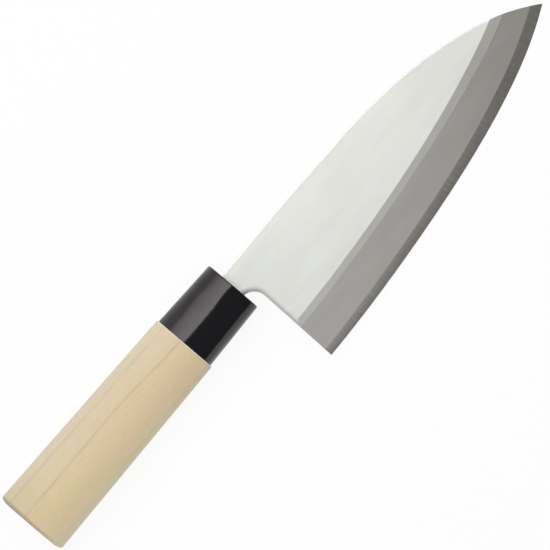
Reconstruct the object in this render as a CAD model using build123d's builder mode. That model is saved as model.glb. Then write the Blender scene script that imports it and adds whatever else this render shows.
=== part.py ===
from build123d import *

import os

# A deba for the right hand, lying on its side. The tang of a stainless blade is bedded in an
# oval wooden handle, behind a plastic ferrule. Lengths are in millimetres.
# X runs along the handle's axis to the tip, Y towards the spine and Z out of the bevelled face.
# The origin is on the handle's axis, in the plane of the ferrule's front face.

# Outline of the blade
blade_length = 165.8  # from the heel's corner to the tip
blade_height = 55.0  # at the heel, from the neck's top to the cutting edge
tip_drop = 27.5  # of the tip, below the neck's top
mouth_gap = 4.5  # from the ferrule to the heel's corner
heel_lean = 1.05  # of the heel towards the tip, from the cutting edge up to the neck
choil_radius = 6.6  # of the corner between the neck and the heel
neck_top = 6.1  # above the handle's axis
neck_bottom = 5.65  # below the handle's axis
neck_depth = 10.0  # of the neck's shoulders, inside the handle

# Sections of the blade
blade_thickness = 4.5  # of the plate that the blade is ground from
edge_land = 0.12  # width of the cutting edge itself
edge_bevel_width = 4.2  # of the dark bevel along the cutting edge
main_bevel_width = 12.9  # of the wide bevel above it
upper_bevel_width = 2.95  # of the narrow facet under the flat face
heel_roll_width = 2.6  # of the edge that stamping rolled over on the front of neck, choil and heel
heel_roll_depth = 0.18  # of the same, at the outline
spine_rounding = 0.35  # on both corners of the spine
back_rounding = 0.35  # on the back of the neck, choil and heel

# Tang
tang_length = 75.0  # behind the ferrule's front face
shoulder_step = 1.4  # from the neck in to the tang, above and below
tang_end_height = 6.0
tang_end_thickness = 2.6

# Handle and ferrule, which are ovals: the heights are along Y
oval_share = 0.78  # of an oval's height that is its thickness
handle_length = 128.4  # wood and ferrule together
ferrule_length = 30.9
ferrule_front_height = 26.2
ferrule_back_height = 28.0
ferrule_wall = 2.0
ferrule_front_wall = 3.0
ferrule_corner = 0.8  # radius of the front corner
cavity_corner = 1.0  # radius in the bottom of the ferrule's cavity
wood_front_height = 29.4
wood_butt_height = 32.2
wood_front_chamfer = 0.4
butt_rounding_depth = 1.7  # along X, of the rounding round the butt
butt_rounding_width = 4.2  # along Y, of the same
butt_sanding = 0.1  # of wood, sanded off the turned butt to leave it flat
tenon_chamfer = 1.4

# Fits
slot_clearance = 0.3  # round the neck in the ferrule's mouth
tenon_clearance = 0.1  # for glue, round the tenon
tenon_end_gap = 0.4  # between the tenon and the ferrule's front wall
bedding_wall = 1.0  # of resin round the tang
bedding_end = 4.0  # of resin past the tang's end
cut_overrun = 5.0

tip_x = mouth_gap + blade_length
tip_y = neck_top - tip_drop
edge_y = neck_top - blade_height
tang_middle = (neck_top - neck_bottom) / 2
back_z = -blade_thickness / 2

# Spine from the neck to the tip: shares of the tip's X and of its drop
spine_shares = [
    (0.106, -0.012),
    (0.265, -0.016),
    (0.364, -0.004),
    (0.452, 0.004),
    (0.597, 0.066),
    (0.742, 0.236),
    (0.886, 0.544),
    (0.943, 0.738),
]
spine_end_share = 0.9  # slope of the spine at the tip, down for each step along

# Cutting edge from the heel to the tip: shares of the blade's length and of the edge's rise
edge_shares = [
    (0, 0),
    (0.172, 0.039),
    (0.348, 0.123),
    (0.527, 0.246),
    (0.705, 0.427),
    (0.883, 0.709),
    (1, 1),
]

# How each bevel's width changes along those points of the cutting edge
edge_bevel_shares = [0.83, 0.88, 0.94, 1.0, 1.1, 1.19, 1.24]
main_bevel_shares = [1.05, 1.04, 1.02, 1.0, 0.94, 0.84, 0.80]
upper_bevel_shares = [1.0, 1.0, 1.0, 1.02, 1.15, 1.45, 1.55]

# How much of the plate's thickness each bevel takes
edge_rise_share = 0.33
main_rise_share = 0.59
upper_rise_share = 1 - edge_rise_share - main_rise_share

# The bevels from the cutting edge up
bevels = [
    (edge_bevel_width, edge_bevel_shares, edge_rise_share),
    (main_bevel_width, main_bevel_shares, main_rise_share),
    (upper_bevel_width, upper_bevel_shares, upper_rise_share),
]


def above_edge(heights):
    """The points of a line that runs at these heights above the cutting edge."""
    edge_rise = tip_y - edge_y
    return [
        (mouth_gap + along * blade_length, edge_y + rise * edge_rise + height)
        for (along, rise), height in zip(edge_shares, heights)
    ]


def below_line(z, heights):
    """The area at one height Z on the cutting side of a line along the bevels."""
    points = above_edge(heights)
    heel_end, tip_end = points[0], points[-1]
    behind = heel_end[0] - cut_overrun
    ahead = tip_end[0] + cut_overrun
    outside = edge_y - blade_height
    with BuildSketch(Plane.XY.offset(z)) as area:
        with BuildLine():
            Spline(*points)
            Polyline(
                tip_end,
                (ahead, tip_end[1]),
                (ahead, outside),
                (behind, outside),
                (behind, heel_end[1]),
                heel_end,
            )
        make_face()
    return area.sketch


def round_the_tang(x, height, thickness, space):
    """A rectangle across the tang, with this much space on every side."""
    with BuildSketch(Plane.YZ.offset(x)) as opening:
        with Locations((tang_middle, 0)):
            Rectangle(height + 2 * space, thickness + 2 * space)
    return opening.sketch


# Blade: a plate in the outline of blade, neck and tang
mouth_top = (0, neck_top)
heel_corner = (mouth_gap, edge_y)
heel_top = (mouth_gap + heel_lean, -neck_bottom)
choil_centre = (mouth_gap + heel_lean - choil_radius, -neck_bottom - choil_radius)
neck_start = (-neck_depth, -neck_bottom)
neck_height = neck_top + neck_bottom
tang_root_half = neck_height / 2 - shoulder_step
tang_end_half = tang_end_height / 2

with BuildPart() as blade:
    with BuildSketch(Plane.XY.offset(back_z)):
        with BuildLine():
            Spline(
                mouth_top,
                *[(along * tip_x, neck_top - drop * tip_drop) for along, drop in spine_shares],
                (tip_x, tip_y),
                tangents=[(1, 0), (1, -spine_end_share)],
            )
            Spline(*above_edge([0 for point in edge_shares]))
            FilletPolyline(heel_corner, heel_top, neck_start, radius=choil_radius)
            Polyline(
                neck_start,
                (-neck_depth, tang_middle - tang_root_half),
                (-tang_length, tang_middle - tang_end_half),
                (-tang_length, tang_middle + tang_end_half),
                (-neck_depth, tang_middle + tang_root_half),
                (-neck_depth, neck_top),
                mouth_top,
            )
        make_face()
    extrude(amount=blade_thickness)

    # The corners are rounded before the bevels are ground, so the roundings run out into them.
    # On each face the neck's top and the spine are the two edges nearest the top of the mouth,
    # and on the back the neck, choil and heel are the three nearest the choil's centre.
    outlines = blade.edges().filter_by(Plane.XY).group_by(Axis.Z)
    for outline in (outlines[-1], outlines[0]):
        top_of_mouth = (*mouth_top, outline[0].center().Z)
        fillet(outline.sort_by_distance(top_of_mouth)[:2], radius=spine_rounding)
    back_of_choil = (*choil_centre, back_z)
    fillet(outlines[0].sort_by_distance(back_of_choil)[:3], radius=back_rounding)

    # Stamping also rolled the front over along neck, choil and heel: the face curves down to
    # the outline. The profile of what is missing follows the outline, and ends outside it
    # before the choil's centre.
    roll_start = -neck_bottom + heel_roll_width
    roll_outside = -neck_bottom - choil_radius / 2
    roll_z = blade_thickness / 2 - heel_roll_depth
    with BuildSketch(Plane.YZ.offset(-neck_depth)):
        with BuildLine():
            TangentArc((roll_start, blade_thickness / 2), (-neck_bottom, roll_z), tangent=(-1, 0))
            Polyline(
                (-neck_bottom, roll_z),
                (roll_outside, roll_z),
                (roll_outside, blade_thickness),
                (roll_start, blade_thickness),
                (roll_start, blade_thickness / 2),
            )
        make_face()
    with BuildLine():
        FilletPolyline(neck_start, heel_top, heel_corner, radius=choil_radius)
    sweep(mode=Mode.SUBTRACT)

    # The tang is drawn thinner from the ferrule's front face to its end
    for side in (1, -1):
        with BuildSketch(Plane.XZ):
            with BuildLine():
                Polyline(
                    (0, side * blade_thickness / 2),
                    (-tang_length, side * tang_end_thickness / 2),
                    (-tang_length, side * blade_thickness),
                    (0, side * blade_thickness),
                    (0, side * blade_thickness / 2),
                )
            make_face()
        extrude(amount=blade_height, both=True, mode=Mode.SUBTRACT)

    # Each bevel is a ruled face between two lines above the cutting edge. Its cut starts one
    # step below the lower line and goes on past the blade's front face.
    low_heights = [0 for point in edge_shares]
    low_z = back_z + edge_land
    for width, width_shares, rise_share in bevels:
        widths = [width * share for share in width_shares]
        step = rise_share * (blade_thickness - edge_land)
        steps_up = (blade_thickness / 2 + cut_overrun - low_z) / step
        start = [height - wide for height, wide in zip(low_heights, widths)]
        end = [height + steps_up * wide for height, wide in zip(low_heights, widths)]
        cut = [below_line(low_z - step, start), below_line(low_z + steps_up * step, end)]
        loft(sections=cut, ruled=True, mode=Mode.SUBTRACT)
        low_heights = [height + wide for height, wide in zip(low_heights, widths)]
        low_z = low_z + step

# Ferrule: a moulded cap. It and the handle are turned as rounds and flattened to ovals.
ferrule_front = ferrule_front_height / 2
ferrule_back = ferrule_back_height / 2
cavity_front = ferrule_front - ferrule_wall
cavity_back = ferrule_back - ferrule_wall

with BuildPart() as ferrule:
    with BuildSketch(Plane.XY) as shell:
        with BuildLine():
            Polyline(
                (0, 0),
                (0, ferrule_front),
                (-ferrule_length, ferrule_back),
                (-ferrule_length, cavity_back),
                (-ferrule_front_wall, cavity_front),
                (-ferrule_front_wall, 0),
                (0, 0),
            )
        make_face()
        front_corner = shell.vertices().sort_by_distance((0, ferrule_front))[0]
        fillet(front_corner, radius=ferrule_corner)
        inner_corner = shell.vertices().sort_by_distance((-ferrule_front_wall, cavity_front))[0]
        fillet(inner_corner, radius=cavity_corner)
    revolve(axis=Axis.X)
    scale(by=(1, 1, oval_share))

    # The slot that the neck passes through
    slot = round_the_tang(cut_overrun, neck_height, blade_thickness, slot_clearance)
    extrude(slot, amount=-ferrule_front_wall - 2 * cut_overrun, mode=Mode.SUBTRACT)

# Handle: one piece of wood with a tenon under the ferrule and a mortise round the tang
tenon_x = -ferrule_front_wall - tenon_end_gap
tenon_front = cavity_front - tenon_clearance
tenon_back = cavity_back - tenon_clearance
wood_front = wood_front_height / 2
wood_butt = wood_butt_height / 2
turned_butt_x = -handle_length - butt_sanding
rounding_x = turned_butt_x + butt_rounding_depth
rounding_y = wood_butt - butt_rounding_width
mortise = [
    round_the_tang(tenon_x, neck_height, blade_thickness, bedding_wall),
    round_the_tang(-tang_length - bedding_end, tang_end_height, tang_end_thickness, bedding_wall),
]

with BuildPart() as handle:
    with BuildSketch(Plane.XY) as profile:
        with BuildLine():
            Polyline(
                (turned_butt_x, rounding_y),
                (turned_butt_x, 0),
                (tenon_x, 0),
                (tenon_x, tenon_front),
                (-ferrule_length, tenon_back),
                (-ferrule_length, wood_front),
                (rounding_x, wood_butt),
            )
            EllipticalCenterArc(
                (rounding_x, rounding_y),
                butt_rounding_depth,
                butt_rounding_width,
                start_angle=90,
                arc_size=90,
            )
        make_face()
        wood_corner = profile.vertices().sort_by_distance((-ferrule_length, wood_front))[0]
        chamfer(wood_corner, length=wood_front_chamfer)
        tenon_corner = profile.vertices().sort_by_distance((tenon_x, tenon_front))[0]
        chamfer(tenon_corner, length=tenon_chamfer)
    revolve(axis=Axis.X)
    scale(by=(1, 1, oval_share))
    split(bisect_by=Plane.YZ.offset(-handle_length), keep=Keep.TOP)
    loft(sections=mortise, mode=Mode.SUBTRACT)

# Bedding: the resin that fills the mortise round the tang
with BuildPart() as tang_bedding:
    loft(sections=mortise)
    add(blade.part, mode=Mode.SUBTRACT)

blade.part.label = "blade"
ferrule.part.label = "ferrule"
handle.part.label = "handle"
tang_bedding.part.label = "tang_bedding"

os.makedirs("parts", exist_ok=True)
export_step(blade.part, "parts/blade.step")
export_step(ferrule.part, "parts/ferrule.step")
export_step(handle.part, "parts/handle.step")
export_step(tang_bedding.part, "parts/tang_bedding.step")
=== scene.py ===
import math

import bmesh
import bpy
from mathutils import Matrix, Vector

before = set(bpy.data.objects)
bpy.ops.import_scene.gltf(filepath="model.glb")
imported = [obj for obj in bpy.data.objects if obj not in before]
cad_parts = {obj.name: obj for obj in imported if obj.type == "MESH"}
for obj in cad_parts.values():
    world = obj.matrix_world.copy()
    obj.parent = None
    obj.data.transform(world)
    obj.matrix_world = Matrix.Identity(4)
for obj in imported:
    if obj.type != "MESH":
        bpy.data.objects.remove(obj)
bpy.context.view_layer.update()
scene = bpy.context.scene
scene.view_settings.view_transform = "Standard"


# Board: the pale board that the knife lies on. The handle is thicker than the blade, so the
# knife rests on the front rim of its wood and on its cutting edge, and the board lies tilted
# in the knife's own frame. From below it lets the view through.
def linear(colour):
    """The linear colour of an sRGB hex value."""
    shares = [int(colour[place:place + 2], 16) / 255 for place in (1, 3, 5)]
    return [s / 12.92 if s <= 0.04045 else ((s + 0.055) / 1.055) ** 2.4 for s in shares] + [1]


def add(tree, kind, settings={}, inputs={}):
    """Adds a node with its settings. Each input that is named or numbered gets a value, or a
    link from an output or from a node's first output."""
    made = tree.nodes.new("ShaderNode" + kind)
    for name, value in settings.items():
        setattr(made, name, value)
    for name, value in inputs.items():
        if isinstance(name, int):
            socket = made.inputs[name]
        else:
            socket = next(each for each in made.inputs if each.enabled and each.name == name)
        if isinstance(value, bpy.types.Node):
            value = next(each for each in value.outputs if each.enabled)
        if isinstance(value, bpy.types.NodeSocket):
            tree.links.new(value, socket)
        else:
            socket.default_value = value
    return made


def new_material(name):
    """An empty material, and its node tree."""
    material = bpy.data.materials.new(name)
    material.use_nodes = True
    material.node_tree.nodes.clear()
    return material, material.node_tree


board_up = Vector((-0.0349, 0.0988, 0.9945)).normalized()
rim_touch = Vector((-0.0313, -0.0016, -0.01141))
board_width = 8
board_glow = 0.92
white = (1, 1, 1, 1)
either = {"operation": "MAXIMUM"}
multiply = {"operation": "MULTIPLY"}

# White to the eye and in gloss, where the glow is mixed in. The rest is paint, which takes the
# knife's shadow.
painted_board, tree = new_material("painted_board")
rays = add(tree, "LightPath").outputs
seen = add(tree, "Math", either, {0: rays["Is Camera Ray"], 1: rays["Is Glossy Ray"]})
seen = add(tree, "Math", either, {0: seen, 1: rays["Is Transmission Ray"]})
lift = add(tree, "Math", multiply, {0: seen, 1: board_glow})
paint = add(tree, "BsdfDiffuse", {}, {"Color": linear("#f8f8f8")})
glow = add(tree, "Emission", {}, {"Color": white, "Strength": 1})
lit = add(tree, "MixShader", {}, {0: lift, 1: paint, 2: glow})
clear = add(tree, "BsdfTransparent")
underside = add(tree, "NewGeometry").outputs["Backfacing"]
both_sides = add(tree, "MixShader", {}, {0: underside, 1: lit, 2: clear})
add(tree, "OutputMaterial", {}, {"Surface": both_sides})

tilted = Matrix.Translation(rim_touch) @ board_up.to_track_quat("Z", "Y").to_matrix().to_4x4()
shape = bmesh.new()
bmesh.ops.create_grid(shape, x_segments=1, y_segments=1, size=board_width / 2, matrix=tilted)
flat = bpy.data.meshes.new("board")
shape.to_mesh(flat)
shape.free()
flat.materials.append(painted_board)
board = bpy.data.objects.new("board", flat)
scene.collection.objects.link(board)


# Light: one wide softbox above the knife, which reaches from just past the vertical out over
# the spine's side. Mirrored, the studio is pale on that side and dark on the edge's side, so
# that the bevels darken one after the other.
softbox_height = 1.1
softbox_start = 0.12
softbox_end = 2.6
softbox_width = 1.8
softbox_spread = math.radians(130)
softbox_watts = 17.2

lamp = bpy.data.lights.new("softbox", "AREA")
lamp.shape = "RECTANGLE"
lamp.size = softbox_width
lamp.size_y = softbox_end - softbox_start
lamp.spread = softbox_spread
lamp.energy = softbox_watts
softbox = bpy.data.objects.new("softbox", lamp)
softbox.location = (0, (softbox_start + softbox_end) / 2, softbox_height)
softbox.visible_camera = False
scene.collection.objects.link(softbox)

# The walls turn pale where a ray leans this far to the spine's side, and fill shade evenly
pale_start, pale_end = 0.015, 0.105
dark_wall, pale_wall, even_wall = 0.1, 0.8, 0.5
smooth = {"interpolation_type": "SMOOTHSTEP"}

world = bpy.data.worlds.new("studio")
world.use_nodes = True
tree = world.node_tree
tree.nodes.clear()
rays = add(tree, "LightPath").outputs
sky = add(tree, "TexCoord").outputs["Generated"]
leaning = add(tree, "SeparateXYZ", {}, {"Vector": sky}).outputs["Y"]
walls = add(tree, "MapRange", smooth, {
    "Value": leaning, "From Min": pale_start, "From Max": pale_end,
    "To Min": dark_wall, "To Max": pale_wall})
level = add(tree, "Mix", {}, {"Factor": rays["Is Diffuse Ray"], "A": walls, "B": even_wall})
air = add(tree, "Background", {}, {"Color": white, "Strength": level})
add(tree, "OutputWorld", {}, {"Surface": air})
scene.world = world


# Camera: square above the blade's face, through a long lens, with the knife's axis turned half
# way round the frame. The blade's length in the photo's pixels gives the frame's width.
axis_turn = math.radians(49.589)
photo_pixels = 550
blade_length, blade_pixels = 0.165, 402.5
pixel_size = blade_length / blade_pixels
frame_width = photo_pixels * pixel_size
frame_centre = (0.01447, -0.01002)
camera_height = 8

lens = bpy.data.cameras.new("camera")
lens.lens = lens.sensor_width * camera_height / frame_width
camera = bpy.data.objects.new("camera", lens)
camera.location = (*frame_centre, camera_height)
camera.rotation_euler = (0, 0, -axis_turn)
scene.collection.objects.link(camera)
scene.camera = camera


# Blade: one plate of stainless steel, stamped, ground on one side and tempered, and bedded by
# its tang. Face and back have a fine satin that gives a soft, wide sheen. The wide bevel is
# ground, and the edge bevel is whetted, with scratches that run straight off the edge. The face
# and both bevels carry painted light and shade.
def finish_node(node, material):
    """Gives a CAD node its material."""
    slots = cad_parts[node].data.materials
    slots.clear()
    slots.append(material)


# The heights at which the facets begin and end
face_height = 0.00225
main_bevel_top = 0.0018996
edge_bevel_top = -0.0006846
cutting_edge = -0.00213

satin_steel, tree = new_material("satin_stainless_steel")
place = add(tree, "TexCoord").outputs["Object"]
x, y, z = add(tree, "SeparateXYZ", {}, {"Vector": place}).outputs
facing = add(tree, "NewGeometry").outputs["True Normal"]
facing_x, facing_y, facing_z = add(tree, "SeparateXYZ", {}, {"Vector": facing}).outputs

# From 0 to 1 on the way up across each facet's upper border, softened a little
edge_soft, main_soft = 0.00004, 0.00001
on_main = add(tree, "MapRange", {}, {
    "Value": z, "From Min": edge_bevel_top - edge_soft, "From Max": edge_bevel_top + edge_soft})
on_upper = add(tree, "MapRange", {}, {
    "Value": z, "From Min": main_bevel_top - main_soft, "From Max": main_bevel_top + main_soft})

# The edge along heel, choil and neck was rolled over in the press. It is found by its place
# near the ferrule, and at its lower end, among the bevels, also by its turn to the heel's side.
heel_reach = 0.0087
roll_middle, roll_half = -0.0144, 0.0142
roll_end_middle, roll_end_half = -0.0305, 0.0019
within = {"operation": "COMPARE"}
near_heel = add(tree, "Math", within, {0: x, 1: 0.0, 2: heel_reach})
above_bevels = add(tree, "Math", within, {0: y, 1: roll_middle, 2: roll_half})
roll_end = add(tree, "Math", within, {0: y, 1: roll_end_middle, 2: roll_end_half})
to_heel = add(tree, "MapRange", {}, {
    "Value": facing_x, "From Min": -0.03, "From Max": -0.01, "To Min": 1, "To Max": 0})
roll_end = add(tree, "Math", multiply, {0: roll_end, 1: to_heel})
off_back = add(tree, "MapRange", {}, {"Value": facing_z, "From Min": -0.95, "From Max": -0.8})
on_roll = add(tree, "Math", either, {0: above_bevels, 1: roll_end})
on_roll = add(tree, "Math", multiply, {0: near_heel, 1: on_roll})
on_roll = add(tree, "Math", multiply, {0: on_roll, 1: off_back})

# The bevels lean to the edge's side, and all else has the satin of the face
level_y = add(tree, "MapRange", {}, {
    "Value": facing_y, "From Min": -0.05, "From Max": -0.03, "To Min": 0, "To Max": 1})
upright = add(tree, "MapRange", {}, {
    "Value": facing_z, "From Min": 0.2, "From Max": 0.3, "To Min": 1, "To Max": 0})
on_face = add(tree, "Math", either, {0: level_y, 1: upright})
on_face = add(tree, "Math", either, {0: on_face, 1: on_roll})

# The roll is painted darker down to the cut, a painted shade where it turns from the light, and
# the cut itself is bare
roll_bottom = 0.00205
roll_place = add(tree, "MapRange", {}, {
    "Value": z, "From Min": roll_bottom, "From Max": face_height})
rolled = add(tree, "ValToRGB", {}, {"Fac": roll_place})
for end in rolled.color_ramp.elements:
    end.color = white
for position, share in [(0.08, 0.6), (0.2, 0.6), (0.52, 0.69), (0.74, 0.82), (0.89, 0.92)]:
    rolled.color_ramp.elements.new(position).color = (share, share, share, 1)
roll_painted_shade = add(tree, "Mix", {}, {"Factor": on_roll, "A": 1.0, "B": rolled})

# The scratches off the edge lean with it as it rises to the tip. Real ones are finer than a
# pixel, so these are drawn 0.6 mm apart to show. A noise has about two lines to its period, so
# this one and those below have twice the distance that is meant.
edge_start, edge_end = 0.0045, 0.17
edge_bend, edge_slope, bevel_run = 1.3, 0.42, 2.9
scratch_period = 0.0012
along = add(tree, "MapRange", {}, {"Value": x, "From Min": edge_start, "From Max": edge_end})
bend = add(tree, "Math", {"operation": "POWER"}, {0: along, 1: edge_bend})
lean = add(tree, "Math", multiply, {0: bend, 1: edge_slope * bevel_run})
height = add(tree, "Math", {"operation": "ADD"}, {0: z, 1: -cutting_edge})
slid = add(tree, "Math", {"operation": "MULTIPLY_ADD"}, {0: lean, 1: height, 2: x})
line_place = add(tree, "CombineXYZ", {}, {"X": slid})
scratches = add(tree, "TexNoise", {"noise_dimensions": "2D"}, {
    "Vector": line_place, "Scale": 1 / scratch_period, "Detail": 3, "Roughness": 0.7})

# The satin's hairlines run along the blade. Real ones are finer too, and are drawn 0.3 mm
# apart. Soft clouds lie over them.
hair_length, hair_width = 0.012, 0.0006
cloud_length, cloud_width = 0.03, 0.007
hair_place = add(tree, "Mapping", {}, {
    "Vector": place, "Scale": (1 / hair_length, 1 / hair_width, 1 / hair_width)})
hairlines = add(tree, "TexNoise", {}, {
    "Vector": hair_place, "Scale": 1, "Detail": 4, "Roughness": 0.6})
cloud_place = add(tree, "Mapping", {}, {
    "Vector": place, "Scale": (1 / cloud_length, 1 / cloud_width, 1 / cloud_width)})
clouds = add(tree, "TexNoise", {}, {
    "Vector": cloud_place, "Scale": 1, "Detail": 3, "Roughness": 0.55})

# The bevels are painted darker to the tip, a painted shade where they turn from the light
# along the belly. The whetted one is also painted darker down to the edge itself, a painted
# shade, and has tarnished in patches.
near_tip, far_tip = 0.015, 0.14
tarnish_size = 0.009
colour_mix = {"data_type": "RGBA"}
tint = {"data_type": "RGBA", "blend_type": "MULTIPLY"}
tip_shade_share = add(tree, "MapRange", {}, {"Value": x, "From Min": near_tip, "From Max": far_tip})
edge_bevel_rise = add(tree, "MapRange", {}, {
    "Value": z, "From Min": cutting_edge, "From Max": edge_bevel_top})
by_edge = add(tree, "Mix", colour_mix, {
    "Factor": tip_shade_share, "A": linear("#bebcb7"), "B": linear("#a09e98")})
by_bevel = add(tree, "Mix", colour_mix, {
    "Factor": tip_shade_share, "A": linear("#ebe8e3"), "B": linear("#a4a29c")})
whetted = add(tree, "Mix", colour_mix, {"Factor": edge_bevel_rise, "A": by_edge, "B": by_bevel})
tarnish = add(tree, "TexNoise", {}, {
    "Vector": place, "Scale": 1 / tarnish_size, "Detail": 2})
tarnished = add(tree, "MapRange", {}, {"Value": tarnish, "From Min": 0.45, "From Max": 0.65})
whetted = add(tree, "Mix", tint, {
    "Factor": tarnished, "A": whetted, "B": (1.02, 0.955, 0.93, 1)})
ground = add(tree, "Mix", colour_mix, {
    "Factor": tip_shade_share, "A": linear("#d8d6d1"), "B": linear("#c9c6c1")})
late = add(tree, "Math", {"operation": "POWER"}, {0: tip_shade_share, 1: 2.0})
first_ground = add(tree, "Mix", colour_mix, {
    "Factor": late, "A": linear("#d1d0cb"), "B": linear("#b5b4af")})
tone = add(tree, "Mix", colour_mix, {"Factor": on_main, "A": whetted, "B": ground})
tone = add(tree, "Mix", colour_mix, {"Factor": on_upper, "A": tone, "B": first_ground})
tone = add(tree, "Mix", colour_mix, {"Factor": on_face, "A": tone, "B": linear("#d8d9d4")})

# The scratches are deeper in some patches of the edge bevel than in others
patch_size = 0.0035
patches = add(tree, "TexNoise", {}, {
    "Vector": place, "Scale": 1 / patch_size, "Detail": 3, "Roughness": 0.65})
deep = add(tree, "MapRange", {}, {
    "Value": patches, "From Min": 0.35, "From Max": 0.62, "To Min": 0.03, "To Max": 0.17})
shallow = add(tree, "Math", multiply, {0: deep, 1: -1.0})
scratch_depth = add(tree, "MapRange", {}, {
    "Value": scratches, "From Min": 0.3, "From Max": 0.7, "To Min": shallow, "To Max": deep})
patch_depth = add(tree, "MapRange", {}, {
    "Value": patches, "From Min": 0.25, "From Max": 0.75, "To Min": 0.93, "To Max": 1.07})
scratch_depth = add(tree, "Math", {"operation": "ADD"}, {0: scratch_depth, 1: patch_depth})
off_edge = add(tree, "Math", either, {0: on_main, 1: on_face})
scratch_depth = add(tree, "Mix", {}, {"Factor": off_edge, "A": scratch_depth, "B": 1.0})
hair_depth = add(tree, "MapRange", {}, {
    "Value": hairlines, "From Min": 0.3, "From Max": 0.7, "To Min": 0.985, "To Max": 1.015})
cloud_depth = add(tree, "MapRange", {}, {
    "Value": clouds, "From Min": 0.3, "From Max": 0.7, "To Min": 0.965, "To Max": 1.035})

# The face is painted a little darker at its ends than in its middle, a painted shade beside
# the ferrule and toward the point, and lighter to its spine side, a painted light
from_neck = add(tree, "MapRange", smooth, {
    "Value": x, "From Min": 0.004, "From Max": 0.034, "To Min": 0.955, "To Max": 1.0})
to_point = add(tree, "MapRange", smooth, {
    "Value": x, "From Min": 0.095, "From Max": 0.13, "To Min": 1.0, "To Max": 0.97})
to_spine = add(tree, "MapRange", smooth, {
    "Value": y, "From Min": -0.004, "From Max": 0.007, "To Min": 1.005, "To Max": 1.045})
face_painted_light = add(tree, "Math", multiply, {0: from_neck, 1: to_point})
face_painted_light = add(tree, "Math", multiply, {0: face_painted_light, 1: to_spine})
face_painted_light = add(tree, "Mix", {}, {"Factor": on_face, "A": 1.0, "B": face_painted_light})

depth = scratch_depth
for part in (hair_depth, cloud_depth, roll_painted_shade, face_painted_light):
    depth = add(tree, "Math", multiply, {0: depth, 1: part})
tone = add(tree, "VectorMath", {"operation": "SCALE"}, {0: tone, "Scale": depth})

# Faint warm and cool clouds, as on any steel that has been handled and wiped
film_size = 0.01
film = add(tree, "TexNoise", {}, {"Vector": place, "Scale": 1 / film_size, "Detail": 2})
film_share = add(tree, "MapRange", {}, {"Value": film, "From Min": 0.35, "From Max": 0.65})
film_tint = add(tree, "Mix", colour_mix, {
    "Factor": film_share, "A": (1.006, 1.0, 0.988, 1), "B": (0.994, 1.0, 1.008, 1)})
tone = add(tree, "VectorMath", multiply, {0: tone, 1: film_tint})

# The spine's rounded corners face the light and are painted brightest, a painted sheen
rounding = add(tree, "MapRange", {}, {"Value": facing_y, "From Min": 0.05, "From Max": 0.2})
tone = add(tree, "Mix", colour_mix, {
    "Factor": rounding, "A": tone, "B": linear("#dfe1e0")})

# The hairlines spread the light across themselves, and hardly along
hair_relief = 0.00002
bump = add(tree, "Bump", {}, {
    "Height": hairlines, "Strength": 0.08, "Distance": hair_relief})
across_hair = add(tree, "CombineXYZ", {}, {"Y": 1})
shader = add(tree, "BsdfPrincipled", {}, {
    "Base Color": tone, "Metallic": 1, "Roughness": 0.4, "Anisotropic": 0.8,
    "Tangent": across_hair, "Normal": bump})
add(tree, "OutputMaterial", {}, {"Surface": shader})
finish_node("blade", satin_steel)


# Ferrule: a cap of black ABS plastic, moulded in a polished mould and pushed on the wood's
# tenon. It shines like lacquer, with faint waves where the wall drew in as it cooled, and a
# film of dust that dulls it in places.
wave_length, wave_width, wave_relief = 0.014, 0.010, 0.00045
dust_size = 0.0015

polished_plastic, tree = new_material("polished_black_plastic")
place = add(tree, "TexCoord").outputs["Object"]
wave_place = add(tree, "Mapping", {}, {
    "Vector": place, "Scale": (1 / wave_length, 1 / wave_width, 1 / wave_width)})
waves = add(tree, "TexNoise", {}, {
    "Vector": wave_place, "Scale": 1, "Detail": 1, "Roughness": 0.4})
bump = add(tree, "Bump", {}, {"Height": waves, "Strength": 1, "Distance": wave_relief})
dust = add(tree, "TexNoise", {}, {
    "Vector": place, "Scale": 1 / dust_size, "Detail": 4, "Roughness": 0.6})
rough = add(tree, "MapRange", {}, {
    "Value": dust, "From Min": 0.3, "From Max": 0.7, "To Min": 0.07, "To Max": 0.1})
dusty = add(tree, "MapRange", {}, {"Value": dust, "From Min": 0.3, "From Max": 0.7})
black = add(tree, "Mix", colour_mix, {
    "Factor": dusty, "A": linear("#141417"), "B": linear("#18181b")})
shader = add(tree, "BsdfPrincipled", {}, {
    "Base Color": black, "Roughness": rough, "Normal": bump, "IOR": 1.54,
    "Specular Tint": (1, 0.9, 0.92, 1)})
add(tree, "OutputMaterial", {}, {"Surface": shader})
finish_node("ferrule", polished_plastic)


# Handle: one piece of magnolia wood, turned and sanded to an oval, unvarnished. The wood is
# pale, matt and even, with thin brown rings that run along it, fine fibres and short pores.
wood_butt = -0.1284
wood_front = -0.031
wood_half = 0.0162

sanded_magnolia, tree = new_material("sanded_magnolia_wood")
place = add(tree, "TexCoord").outputs["Object"]
x, y, z = add(tree, "SeparateXYZ", {}, {"Vector": place}).outputs

# From the edge's side to the spine's the wood turns from tan to a cooler cream. It is painted
# lighter on the edge's side, where less light falls, and washed out at both rims, as painted
# light and sheen
upward = add(tree, "MapRange", {}, {"Value": y, "From Min": -wood_half, "From Max": wood_half})
tone = add(tree, "ValToRGB", {}, {"Fac": upward})
ramp = tone.color_ramp
ramp.elements[0].color = linear("#ecdfc4")
ramp.elements[1].color = linear("#d7cbb3")
for position, colour in [
    (0.12, "#ead8b5"), (0.22, "#e6d0ab"), (0.50, "#e0caa5"), (0.62, "#dac6a4"),
    (0.80, "#d9c8aa"),
]:
    ramp.elements.new(position).color = linear(colour)

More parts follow.
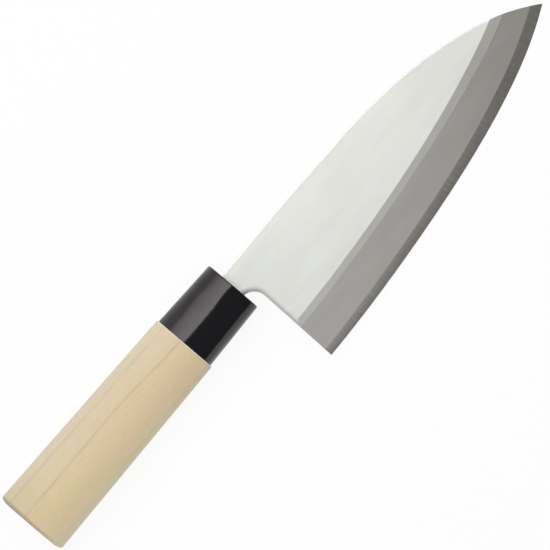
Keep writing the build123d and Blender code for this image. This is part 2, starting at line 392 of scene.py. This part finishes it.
# The rings are arcs in the grain's end. Along the wood they are thin lines that sway a little,
# each dark up to a sharp border.
sway_length, sway_width, sway_reach = 0.012, 0.03, 0.0004
ring_arc = 0.12
sway_place = add(tree, "Mapping", {}, {
    "Vector": place, "Scale": (1 / sway_length, 1 / sway_width, 1 / sway_width)})
sway = add(tree, "TexNoise", {}, {"Vector": sway_place, "Scale": 1, "Detail": 2})
swayed = add(tree, "MapRange", {}, {
    "Value": sway, "To Min": -sway_reach, "To Max": sway_reach})
square = add(tree, "Math", multiply, {0: z, 1: z})
level = add(tree, "Math", {"operation": "MULTIPLY_ADD"}, {0: square, 1: 1 / ring_arc, 2: y})
level = add(tree, "Math", {"operation": "ADD"}, {0: level, 1: swayed})

# Each ring's height at butt and front, where it starts to bend from one to the other, how
# strong it is at either end, and its brown
ring_below, ring_above = -0.0018, 0.0006
faint_length, faint_width, faint_shift = 0.014, 0.03, 90
for butt_height, front_height, bend_start, butt_share, front_share, brown in [
    (0.01274, 0.01155, wood_butt, 1.0, 0.8, (0.89, 0.88, 0.885, 1)),
    (0.00512, 0.0032, -0.074, 1.0, 1.0, (0.90, 0.83, 0.80, 1)),
    (-0.0130, -0.01255, wood_butt, 0.6, 1.0, (0.95, 0.91, 0.90, 1)),
]:
    bend = add(tree, "MapRange", smooth, {
        "Value": x, "From Min": bend_start, "From Max": wood_front,
        "To Min": butt_height, "To Max": front_height})
    off = add(tree, "Math", {"operation": "SUBTRACT"}, {0: level, 1: bend})
    off_share = add(tree, "MapRange", {}, {
        "Value": off, "From Min": ring_below, "From Max": ring_above})
    ring = add(tree, "ValToRGB", {}, {"Fac": off_share})
    for end in ring.color_ramp.elements:
        end.color = white
    for position, colour in [(0.50, (0.975, 0.975, 0.975, 1)), (0.69, brown), (0.83, brown)]:
        ring.color_ramp.elements.new(position).color = colour
    faint_place = add(tree, "Mapping", {}, {
        "Vector": place, "Location": (butt_height * faint_shift, 0, 0),
        "Scale": (1 / faint_length, 1 / faint_width, 1 / faint_width)})
    faint = add(tree, "TexNoise", {}, {"Vector": faint_place, "Scale": 1, "Detail": 2})
    strength = add(tree, "MapRange", {}, {
        "Value": faint, "From Min": 0.35, "From Max": 0.6, "To Min": 0.25, "To Max": 1.0})
    fade = add(tree, "MapRange", {}, {
        "Value": x, "From Min": -0.12, "From Max": -0.06,
        "To Min": butt_share, "To Max": front_share})
    strength = add(tree, "Math", multiply, {0: strength, 1: fade})
    tone = add(tree, "Mix", tint, {"Factor": strength, "A": tone, "B": ring})

# Between the rings the wood is mottled, greener here and rosier there
mottle_length, mottle_width = 0.026, 0.009
mottle_place = add(tree, "Mapping", {}, {
    "Vector": place, "Scale": (1 / mottle_length, 1 / mottle_width, 1 / mottle_width)})
mottle = add(tree, "TexNoise", {}, {
    "Vector": mottle_place, "Scale": 1, "Detail": 3, "Roughness": 0.6})
mottled = add(tree, "ValToRGB", {}, {"Fac": mottle})
greener, rosier = mottled.color_ramp.elements
greener.position, greener.color = 0.3, (0.975, 1.01, 0.935, 1)
rosier.position, rosier.color = 0.7, (1.025, 0.99, 1.005, 1)
tone = add(tree, "VectorMath", multiply, {0: tone, 1: mottled})

# Fibres 0.25 mm wide and pores 0.3 mm wide, both coarser than real ones, so that they show
fibre_length, fibre_width = 0.005, 0.0005
pore_length, pore_width = 0.0015, 0.0006
fibre_place = add(tree, "Mapping", {}, {
    "Vector": place, "Scale": (1 / fibre_length, 1 / fibre_width, 1 / fibre_width)})
fibres = add(tree, "TexNoise", {}, {
    "Vector": fibre_place, "Scale": 1, "Detail": 3, "Roughness": 0.6})
fibre_depth = add(tree, "MapRange", {}, {
    "Value": fibres, "From Min": 0.3, "From Max": 0.7, "To Min": 0.96, "To Max": 1.03})
pore_place = add(tree, "Mapping", {}, {
    "Vector": place, "Scale": (1 / pore_length, 1 / pore_width, 1 / pore_width)})
pores = add(tree, "TexNoise", {}, {"Vector": pore_place, "Scale": 1, "Detail": 1})
pore_depth = add(tree, "MapRange", {}, {
    "Value": pores, "From Min": 0.62, "From Max": 0.74, "To Min": 1.0, "To Max": 0.94})

# Beside the ferrule it is painted a little darker on the edge's side and paler on the
# spine's, as painted shade and light
front_side = add(tree, "MapRange", {}, {
    "Value": y, "From Min": -0.014, "From Max": 0.012, "To Min": 0.95, "To Max": 1.035})
front_light_and_shade = add(tree, "MapRange", smooth, {
    "Value": x, "From Min": -0.07, "From Max": -0.035, "To Min": 1.0, "To Max": front_side})
depth = fibre_depth
for part in (pore_depth, front_light_and_shade):
    depth = add(tree, "Math", multiply, {0: depth, 1: part})
tone = add(tree, "VectorMath", {"operation": "SCALE"}, {0: tone, "Scale": depth})

# Towards the butt the spine's side is darker and yellower
to_butt = add(tree, "MapRange", smooth, {
    "Value": x, "From Min": -0.128, "From Max": -0.104, "To Min": 1.0, "To Max": 0.0})
spine_side = add(tree, "MapRange", {}, {"Value": y, "From Min": -0.008, "From Max": 0.010})
butt_spine_tint = add(tree, "Math", multiply, {0: to_butt, 1: spine_side})
tone = add(tree, "Mix", tint, {"Factor": butt_spine_tint, "A": tone, "B": (0.90, 0.92, 0.84, 1)})

# The rounding at the butt is painted greyer and darker, a painted shade where it turns from
# the light, in a band that widens to the spine's side, and the flat end a little
grey_share = add(tree, "MapRange", {}, {
    "Value": y, "From Min": -0.014, "From Max": 0.008, "To Min": 0.25, "To Max": 0.95})
grey_start = add(tree, "MapRange", {}, {
    "Value": y, "From Min": -0.002, "From Max": 0.012, "To Min": -0.1266, "To Max": -0.1258})
butt_painted_shade = add(tree, "MapRange", smooth, {
    "Value": x, "From Min": -0.1277, "From Max": grey_start,
    "To Min": grey_share, "To Max": 0.0})
facing = add(tree, "NewGeometry").outputs["True Normal"]
facing_x = add(tree, "SeparateXYZ", {}, {"Vector": facing}).outputs["X"]
flat_end = add(tree, "MapRange", {}, {
    "Value": facing_x, "From Min": -0.99, "From Max": -0.95, "To Min": 1.0, "To Max": 0.0})
less = add(tree, "MapRange", {}, {"Value": flat_end, "To Min": 1.0, "To Max": 0.45})
butt_painted_shade = add(tree, "Math", multiply, {0: butt_painted_shade, 1: less})
tone = add(tree, "Mix", colour_mix, {
    "Factor": butt_painted_shade, "A": tone, "B": linear("#a9a18a")})

# The sawn and sanded end shows the rings as arcs about 1 mm apart, and the pores as specks
end_ring_period, end_pore_period = 0.0016, 0.0007
end_rings = add(tree, "TexNoise", {"noise_dimensions": "1D"}, {
    "W": level, "Scale": 1 / end_ring_period, "Detail": 2})
end_lines = add(tree, "MapRange", {}, {
    "Value": end_rings, "From Min": 0.35, "From Max": 0.65, "To Min": 0.88, "To Max": 1.05})
end_pores = add(tree, "TexNoise", {}, {
    "Vector": place, "Scale": 1 / end_pore_period, "Detail": 2})
end_specks = add(tree, "MapRange", {}, {
    "Value": end_pores, "From Min": 0.3, "From Max": 0.7, "To Min": 0.94, "To Max": 1.04})
end_grain = add(tree, "Math", multiply, {0: end_lines, 1: end_specks})
end_grain = add(tree, "Mix", {}, {"Factor": flat_end, "A": 1.0, "B": end_grain})
tone = add(tree, "VectorMath", {"operation": "SCALE"}, {0: tone, "Scale": end_grain})

# The chamfer beside the ferrule is painted paler, a painted highlight where it catches the
# light
chamfer_start, chamfer_full = -0.03135, -0.0312
chamfer_highlight = add(tree, "MapRange", {}, {
    "Value": x, "From Min": chamfer_start, "From Max": chamfer_full,
    "To Min": 0.0, "To Max": 0.8})
tone = add(tree, "Mix", colour_mix, {
    "Factor": chamfer_highlight, "A": tone, "B": linear("#f4f0e8")})

fibre_relief = 0.00004
bump = add(tree, "Bump", {}, {
    "Height": fibres, "Strength": 0.25, "Distance": fibre_relief})
rough = add(tree, "MapRange", {}, {
    "Value": fibres, "From Min": 0.3, "From Max": 0.7, "To Min": 0.62, "To Max": 0.52})
shader = add(tree, "BsdfPrincipled", {}, {
    "Base Color": tone, "Roughness": rough, "Normal": bump, "IOR": 1.45})
add(tree, "OutputMaterial", {}, {"Surface": shader})
finish_node("handle", sanded_magnolia)


# Bedding: the resin that was poured into the mortise round the tang. It has set amber and
# slightly cloudy, and shows only deep in the ferrule's mouth.
haze_size = 0.004

set_resin, tree = new_material("set_resin")
place = add(tree, "TexCoord").outputs["Object"]
haze = add(tree, "TexNoise", {}, {"Vector": place, "Scale": 1 / haze_size, "Detail": 3})
amber = add(tree, "Mix", colour_mix, {
    "Factor": haze, "A": linear("#7d5f35"), "B": linear("#a5834f")})
shader = add(tree, "BsdfPrincipled", {}, {
    "Base Color": amber, "Roughness": 0.35, "IOR": 1.5})
add(tree, "OutputMaterial", {}, {"Surface": shader})
finish_node("tang_bedding", set_resin)
